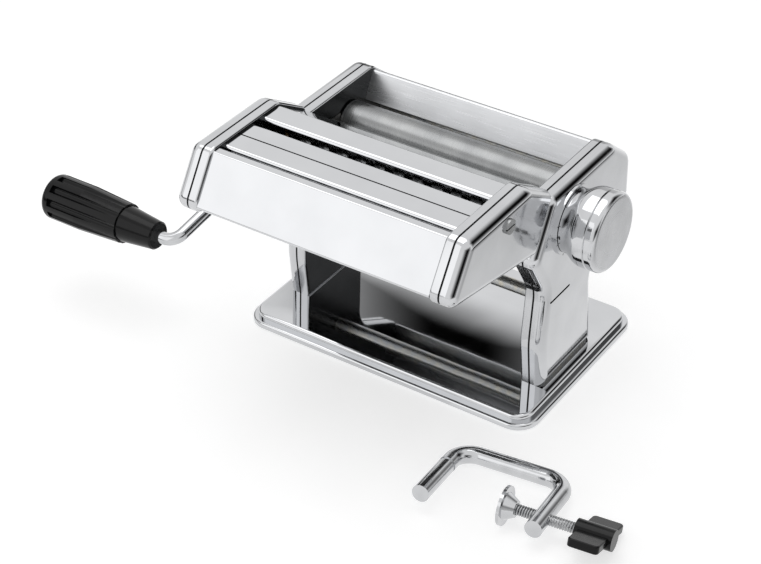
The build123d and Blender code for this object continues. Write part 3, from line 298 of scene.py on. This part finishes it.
def grow(name, tree, **values):
    """Run a Geometry Nodes tree and keep its result as a plain mesh object at the origin."""
    holder = bpy.data.objects.new(name + "_holder", bpy.data.meshes.new(name + "_holder"))
    bpy.context.scene.collection.objects.link(holder)
    modifier = holder.modifiers.new(name, "NODES")
    modifier.node_group = tree
    for item in tree.interface.items_tree:
        if item.in_out == "INPUT":
            modifier[item.identifier] = values[item.name.replace(" ", "_")]
    evaluated = holder.evaluated_get(bpy.context.evaluated_depsgraph_get())
    mesh = bpy.data.meshes.new_from_object(evaluated)
    mesh.name = name
    holder.modifiers.remove(modifier)
    bpy.data.objects.remove(holder)
    piece = bpy.data.objects.new(name, mesh)
    bpy.context.scene.collection.objects.link(piece)
    return piece


tree, given, result = new_tree("ring_of_marks", Count="Int", Step="Float", Radius="Float", Size="Vector",
                               Centre="Vector", Finish="Material")
points = add(tree, "GeometryNodeMeshLine", {"Count": given["Count"], "Offset": (0, 0, 0)})
mark = add(tree, "GeometryNodeMeshCube", {"Size": given["Size"]})
out = add(tree, "ShaderNodeCombineXYZ", {"Z": given["Radius"]})
mark = add(tree, "GeometryNodeTransform", {"Geometry": mark.outputs["Mesh"], "Translation": out.outputs[0]})
angle = add(tree, "ShaderNodeMath", {0: add(tree, "GeometryNodeInputIndex").outputs[0], 1: given["Step"]},
            operation="MULTIPLY")
spin = add(tree, "ShaderNodeCombineXYZ", {"X": angle.outputs[0]})
ring = add(tree, "GeometryNodeInstanceOnPoints", {"Points": points.outputs["Mesh"],
                                                  "Rotation": spin.outputs[0],
                                                  "Instance": mark.outputs["Geometry"]})
ring = add(tree, "GeometryNodeTransform", {"Geometry": ring.outputs["Instances"],
                                           "Translation": given["Centre"]})
ring = add(tree, "GeometryNodeRealizeInstances", {"Geometry": ring.outputs["Geometry"]})
ring = add(tree, "GeometryNodeSetMaterial", {"Geometry": ring.outputs["Geometry"],
                                             "Material": given["Finish"]})
tree.links.new(ring.outputs["Geometry"], result.inputs["Geometry"])
ring_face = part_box("index_ring")[1][0]
marks = grow("index_marks", tree, Count=MARKS, Step=MARK_STEP, Radius=MARK_RADIUS, Size=MARK_SIZE,
             Centre=(ring_face, *KNOB_AXIS), Finish=seam_shade_and_mark_black)
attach(marks, "machine")


# Crank: a plated rod bent twice and pushed into the end of the rear roller, with a loose black grip.
# The grip is moulded in one, a tapered nose and a fluted sleeve, and a cap closes it over the rod's rivet.

# Chrome over drawn rod: bright, with faint cloudy patches that soften its mirror.
chrome_rod, tree, shader, place = surface("chrome_plated_drawn_rod", Metallic=1.0)
finish_with(tree, shader,
            Base_Color=between(tree, noise(tree, place, 0.012), 0.0, 1.0, "#C0C1C3", "#CDCED0"),
            Roughness=between(tree, noise(tree, place, 0.003, 5.0), 0.06, 0.13),
            Normal=relief(tree, noise(tree, place, 0.002), 0.00003, 0.5))
dress(chrome_rod, "crank_rod")

# Moulded phenolic: deep black with a hard gloss, a slight orange peel that breaks the highlights' edges.
grip_black, tree, shader, place = surface("moulded_gloss_phenolic", Specular_IOR_Level=0.22)
finish_with(tree, shader,
            Base_Color=between(tree, noise(tree, place, 0.010), 0.0, 1.0, "#070708", "#0E0E0F"),
            Roughness=between(tree, noise(tree, place, 0.004, 4.0), 0.12, 0.20),
            Normal=relief(tree, noise(tree, place, 0.0016, 2.0), 0.00005, 0.5))
dress(grip_black, "crank_grip", "grip_cap")


# Cutter: a second pair of cheeks with two pairs of grooved rollers between them, one wide and one narrow.
# Folded plates close its front, top and back and leave two slots; a slotted screw holds each cover.
dress(chrome_sheet, "cutter_front_plate", "cutter_mid_plates", "cutter_rear_plate")
dress(zinc, "cutter_tongues", "cutter_posts")

# Turned cutter steel: a little darker than the rollers, with rings that catch the light in its grooves.
cutter_steel, tree, shader, place = surface("turned_cutter_steel", Metallic=1.0)
rings = turned_lines(tree, place, 0.0005)
finish_with(tree, shader,
            Base_Color=between(tree, noise(tree, place, 0.010), 0.0, 1.0, "#8E8F90", "#A5A6A6"),
            Roughness=between(tree, rings, 0.22, 0.38),
            Normal=relief(tree, rings, 0.00002, 0.6))
dress(cutter_steel, "wide_follower_roller", "wide_driver_roller", "narrow_driver_roller",
      "narrow_follower_roller", "cutter_cover_screws")


# Clamp: a plated rod bent to a C, lying beside the machine, with a thumbscrew through its short end.
# The screw has a rolled thread, a swivelling pad on its tip and a moulded wing on its tail.
CLAMP_PLACE = (0.1127, -0.0960, 0.0052)
CLAMP_TURN = math.radians(7)
SCREW_Y = -0.0385
SCREW_HEIGHT = 0.0115
CLAMP_TILT = math.asin((SCREW_HEIGHT - CLAMP_PLACE[2]) / -SCREW_Y)
SCREW_FROM = 0.01238
SCREW_TO = 0.0675
THREAD_FROM = 0.0176
THREAD_PITCH = 0.0015
CREST_RADIUS = 0.0033
BEAD_RADIUS = 0.00055
BEAD_SIDES = 8
CORE_SIDES = 32
STEPS_PER_TURN = 40
dress(chrome_rod, "clamp_frame", "clamp_pad")
dress(grip_black, "wing_knob")

# Rolled thread under bright plating: greyer than the rod, since the grooves hold oil and dust.
thread_steel, tree, shader, place = surface("plated_rolled_thread", Metallic=1.0)
finish_with(tree, shader,
            Base_Color=between(tree, noise(tree, place, 0.003), 0.0, 1.0, "#9D9EA0", "#B9BABB"),
            Roughness=between(tree, noise(tree, place, 0.001, 4.0), 0.16, 0.30),
            Normal=relief(tree, noise(tree, place, 0.0006), 0.00002))

tree, given, result = new_tree("rolled_thread", Turns="Float", Height="Float", Bead="Float", Root="Float",
                               Start="Float", Core_From="Float", Core_Length="Float", Place="Vector",
                               Turn="Vector", Tilt="Vector", Offset="Float", Finish="Material")
helix = add(tree, "GeometryNodeCurveSpiral", {"Resolution": STEPS_PER_TURN, "Rotations": given["Turns"],
                                              "Start Radius": given["Root"], "End Radius": given["Root"],
                                              "Height": given["Height"]})
profile = add(tree, "GeometryNodeCurvePrimitiveCircle", {"Resolution": BEAD_SIDES, "Radius": given["Bead"]},
              mode="RADIUS")
bead = add(tree, "GeometryNodeCurveToMesh", {"Curve": helix.outputs["Curve"],
                                             "Profile Curve": profile.outputs["Curve"], "Fill Caps": True})
lift = add(tree, "ShaderNodeCombineXYZ", {"Z": given["Start"]})
bead = add(tree, "GeometryNodeTransform", {"Geometry": bead.outputs["Mesh"], "Translation": lift.outputs[0]})
core = add(tree, "GeometryNodeMeshCylinder", {"Vertices": CORE_SIDES, "Radius": given["Root"],
                                              "Depth": given["Core Length"]})
half = add(tree, "ShaderNodeMath", {0: given["Core Length"], 1: 0.5, 2: given["Core From"]},
           operation="MULTIPLY_ADD")
lift = add(tree, "ShaderNodeCombineXYZ", {"Z": half.outputs[0]})
core = add(tree, "GeometryNodeTransform", {"Geometry": core.outputs["Mesh"], "Translation": lift.outputs[0]})
screw = add(tree, "GeometryNodeJoinGeometry")
tree.links.new(bead.outputs["Geometry"], screw.inputs[0])
tree.links.new(core.outputs["Geometry"], screw.inputs[0])
lay = add(tree, "ShaderNodeCombineXYZ", {"Y": given["Offset"]})
screw = add(tree, "GeometryNodeTransform", {"Geometry": screw.outputs["Geometry"],
                                            "Translation": lay.outputs[0],
                                            "Rotation": (0, math.radians(90), 0)})
screw = add(tree, "GeometryNodeTransform", {"Geometry": screw.outputs["Geometry"],
                                            "Rotation": given["Tilt"]})
screw = add(tree, "GeometryNodeTransform", {"Geometry": screw.outputs["Geometry"],
                                            "Rotation": given["Turn"], "Translation": given["Place"]})
screw = add(tree, "GeometryNodeRealizeInstances", {"Geometry": screw.outputs["Geometry"]})
screw = add(tree, "GeometryNodeSetShadeSmooth", {"Geometry": screw.outputs["Geometry"]})
screw = add(tree, "GeometryNodeSetMaterial", {"Geometry": screw.outputs["Geometry"],
                                              "Material": given["Finish"]})
tree.links.new(screw.outputs["Geometry"], result.inputs["Geometry"])
thread_height = SCREW_TO - THREAD_FROM - 2 * BEAD_RADIUS
thread = grow("clamp_thread", tree, Turns=thread_height / THREAD_PITCH, Height=thread_height,
              Bead=BEAD_RADIUS, Root=CREST_RADIUS - BEAD_RADIUS, Start=THREAD_FROM, Core_From=SCREW_FROM,
              Core_Length=SCREW_TO - SCREW_FROM, Place=CLAMP_PLACE, Turn=(0, 0, CLAMP_TURN),
              Tilt=(-CLAMP_TILT, 0, 0), Offset=SCREW_Y, Finish=thread_steel)
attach(thread, "clamp_screw")
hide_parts("clamp_screw")


# Studio: a pale paper floor, a white surround that is seen and mirrored but lights gently, and soft lamps.
# Black boards round the set and on the floor, seen only in the chrome, draw its dark edges.
FLOOR_REACH = 6.0
PAPER_GLOW = 0.62
SURROUND_LIGHT = 0.45
SURROUND_SEEN = 1.0
BOARD_FADE = (0.05, 0.5)
SQUARE = ((-1, -1), (1, -1), (1, 1), (-1, 1))
floor_mesh = bpy.data.meshes.new("studio_floor")
floor_mesh.from_pydata([(x * FLOOR_REACH, y * FLOOR_REACH, 0) for x, y in SQUARE], [], [(0, 1, 2, 3)])
floor = bpy.data.objects.new("studio_floor", floor_mesh)
bpy.context.scene.collection.objects.link(floor)


def mirrored(tree):
    """One for rays from the camera or off a mirror or through glass, nought for light itself."""
    path = add(tree, "ShaderNodeLightPath").outputs
    seen = add(tree, "ShaderNodeMath", {0: path["Is Camera Ray"], 1: path["Is Glossy Ray"]},
               operation="MAXIMUM")
    return add(tree, "ShaderNodeMath", {0: seen.outputs[0], 1: path["Is Transmission Ray"]},
               operation="MAXIMUM").outputs[0]


# Studio paper: matt white, so that the background stays white and keeps the soft shadow.
paper, tree, shader, place = surface("white_studio_paper", Roughness=0.9, Specular_IOR_Level=0.1)
shader.inputs["Emission Color"].default_value = (1, 1, 1, 1)
glow = add(tree, "ShaderNodeMath", {0: mirrored(tree), 1: PAPER_GLOW}, operation="MULTIPLY")
finish_with(tree, shader,
            Base_Color=between(tree, noise(tree, place, 0.05), 0.0, 1.0, "#CECECE", "#D2D2D2"),
            Emission_Strength=glow.outputs[0])
floor_mesh.materials.append(paper)

world = bpy.data.worlds.new("white_surround")
bpy.context.scene.world = world
world.use_nodes = True
tree = world.node_tree
level = add(tree, "ShaderNodeMapRange", {"Value": mirrored(tree), "To Min": SURROUND_LIGHT,
                                         "To Max": SURROUND_SEEN})
tree.nodes["Background"].inputs["Color"].default_value = (1, 1, 1, 1)
tree.links.new(level.outputs["Result"], tree.nodes["Background"].inputs["Strength"])

for name, spot, aim, size, power in (
    ("overhead_softbox", (-0.3, 0.1, 1.5), (0, 0, 0.08), 1.2, 6),
    ("front_left_softbox", (-0.50, -1.00, 0.60), (0, -0.11, 0.14), 0.9, 1.15),
):
    lamp = bpy.data.lights.new(name, "AREA")
    lamp.shape = "SQUARE"
    lamp.size = size
    lamp.energy = power
    lamp_object = bpy.data.objects.new(name, lamp)
    lamp_object.location = spot
    lamp_object.rotation_euler = (Vector(spot) - Vector(aim)).to_track_quat("Z", "Y").to_euler()
    bpy.context.scene.collection.objects.link(lamp_object)

# Black board: felt that fades to the surround's white at its edges, so that it mirrors as a soft streak.
felt, tree, shader, place = surface("black_board_felt", Roughness=1.0, Specular_IOR_Level=0.0)
shader.inputs["Emission Color"].default_value = (1, 1, 1, 1)
on_board = add(tree, "ShaderNodeTexCoord").outputs["UV"]
fades = []
for axis in ("X", "Y"):
    run = add(tree, "ShaderNodeSeparateXYZ", {"Vector": on_board}).outputs[axis]
    off_middle = add(tree, "ShaderNodeMath", {0: run, 1: 0.5}, operation="SUBTRACT").outputs[0]
    off_middle = add(tree, "ShaderNodeMath", {0: off_middle}, operation="ABSOLUTE").outputs[0]
    settings = {"Value": off_middle, "From Min": BOARD_FADE[0], "From Max": BOARD_FADE[1]}
    fades.append(add(tree, "ShaderNodeMapRange", settings,
                     interpolation_type="SMOOTHSTEP").outputs["Result"])
fade = add(tree, "ShaderNodeMath", {0: fades[0], 1: fades[1]}, operation="MAXIMUM")
finish_with(tree, shader,
            Base_Color=between(tree, noise(tree, place, 0.01), 0.0, 1.0, "#050505", "#0A0A0A"),
            Emission_Strength=fade.outputs[0])
for name, spot, aim, width, height in (
    ("board_right_rear", (0.98, 1.10, 0.72), (0.09, 0, 0.13), 2.1, 2.1),
    ("board_behind", (-0.08, 0.15, 0.160), (-0.08, 0, 0.160), 0.42, 0.095),
    ("board_left_low", (-1.2, 0.1, 0.30), (0, 0, 0.1), 1.6, 0.70),
    ("board_front_right", (0.95, -0.42, 0.26), (0.05, -0.05, 0.1), 1.5, 0.85),
    ("board_floor_right", (0.60, 0.35, 0.002), (0.60, 0.35, 1.0), 1.1, 1.1),
    ("board_front_left", (-1.05, -0.90, 0.12), (0, 0, 0.12), 2.1, 0.44),
):
    board_mesh = bpy.data.meshes.new(name)
    turn = (Vector(spot) - Vector(aim)).to_track_quat("Z", "Y").to_matrix()
    corners = [(x * width / 2, y * height / 2, 0) for x, y in SQUARE]
    board_mesh.from_pydata([turn @ Vector(corner) + Vector(spot) for corner in corners], [], [(0, 1, 2, 3)])
    board_mesh.materials.append(felt)
    for corner, (x, y) in zip(board_mesh.uv_layers.new(name="board").data, SQUARE):
        corner.uv = ((x + 1) / 2, (y + 1) / 2)
    board = bpy.data.objects.new(name, board_mesh)
    bpy.context.scene.collection.objects.link(board)
    board.visible_camera = False
    board.visible_diffuse = False
    board.visible_transmission = False
    board.visible_shadow = False


# Camera: at the photograph's viewing angle, a long lens slightly off centre.
camera = bpy.data.cameras.new("photo_camera")
camera.sensor_width = 36.0
camera.lens = 94.23
camera.shift_x = -0.0533
camera.shift_y = -0.0452
camera_object = bpy.data.objects.new("photo_camera", camera)
azimuth, elevation, roll = math.radians(33.496), math.radians(34.865), math.radians(-0.364)
target = Vector((0, -0.01965, 0.06878))
distance = 1.1913
level_out = math.cos(elevation)
back = Vector((math.sin(azimuth) * level_out, -math.cos(azimuth) * level_out, math.sin(elevation)))
right = Vector((math.cos(azimuth), math.sin(azimuth), 0))
up = back.cross(right)
right, up = right * math.cos(roll) + up * math.sin(roll), up * math.cos(roll) - right * math.sin(roll)
facing = Matrix((right, up, back)).transposed().to_4x4()
camera_object.matrix_world = Matrix.Translation(target + distance * back) @ facing
bpy.context.scene.collection.objects.link(camera_object)
bpy.context.scene.camera = camera_object
bpy.context.scene.view_settings.view_transform = "Standard"
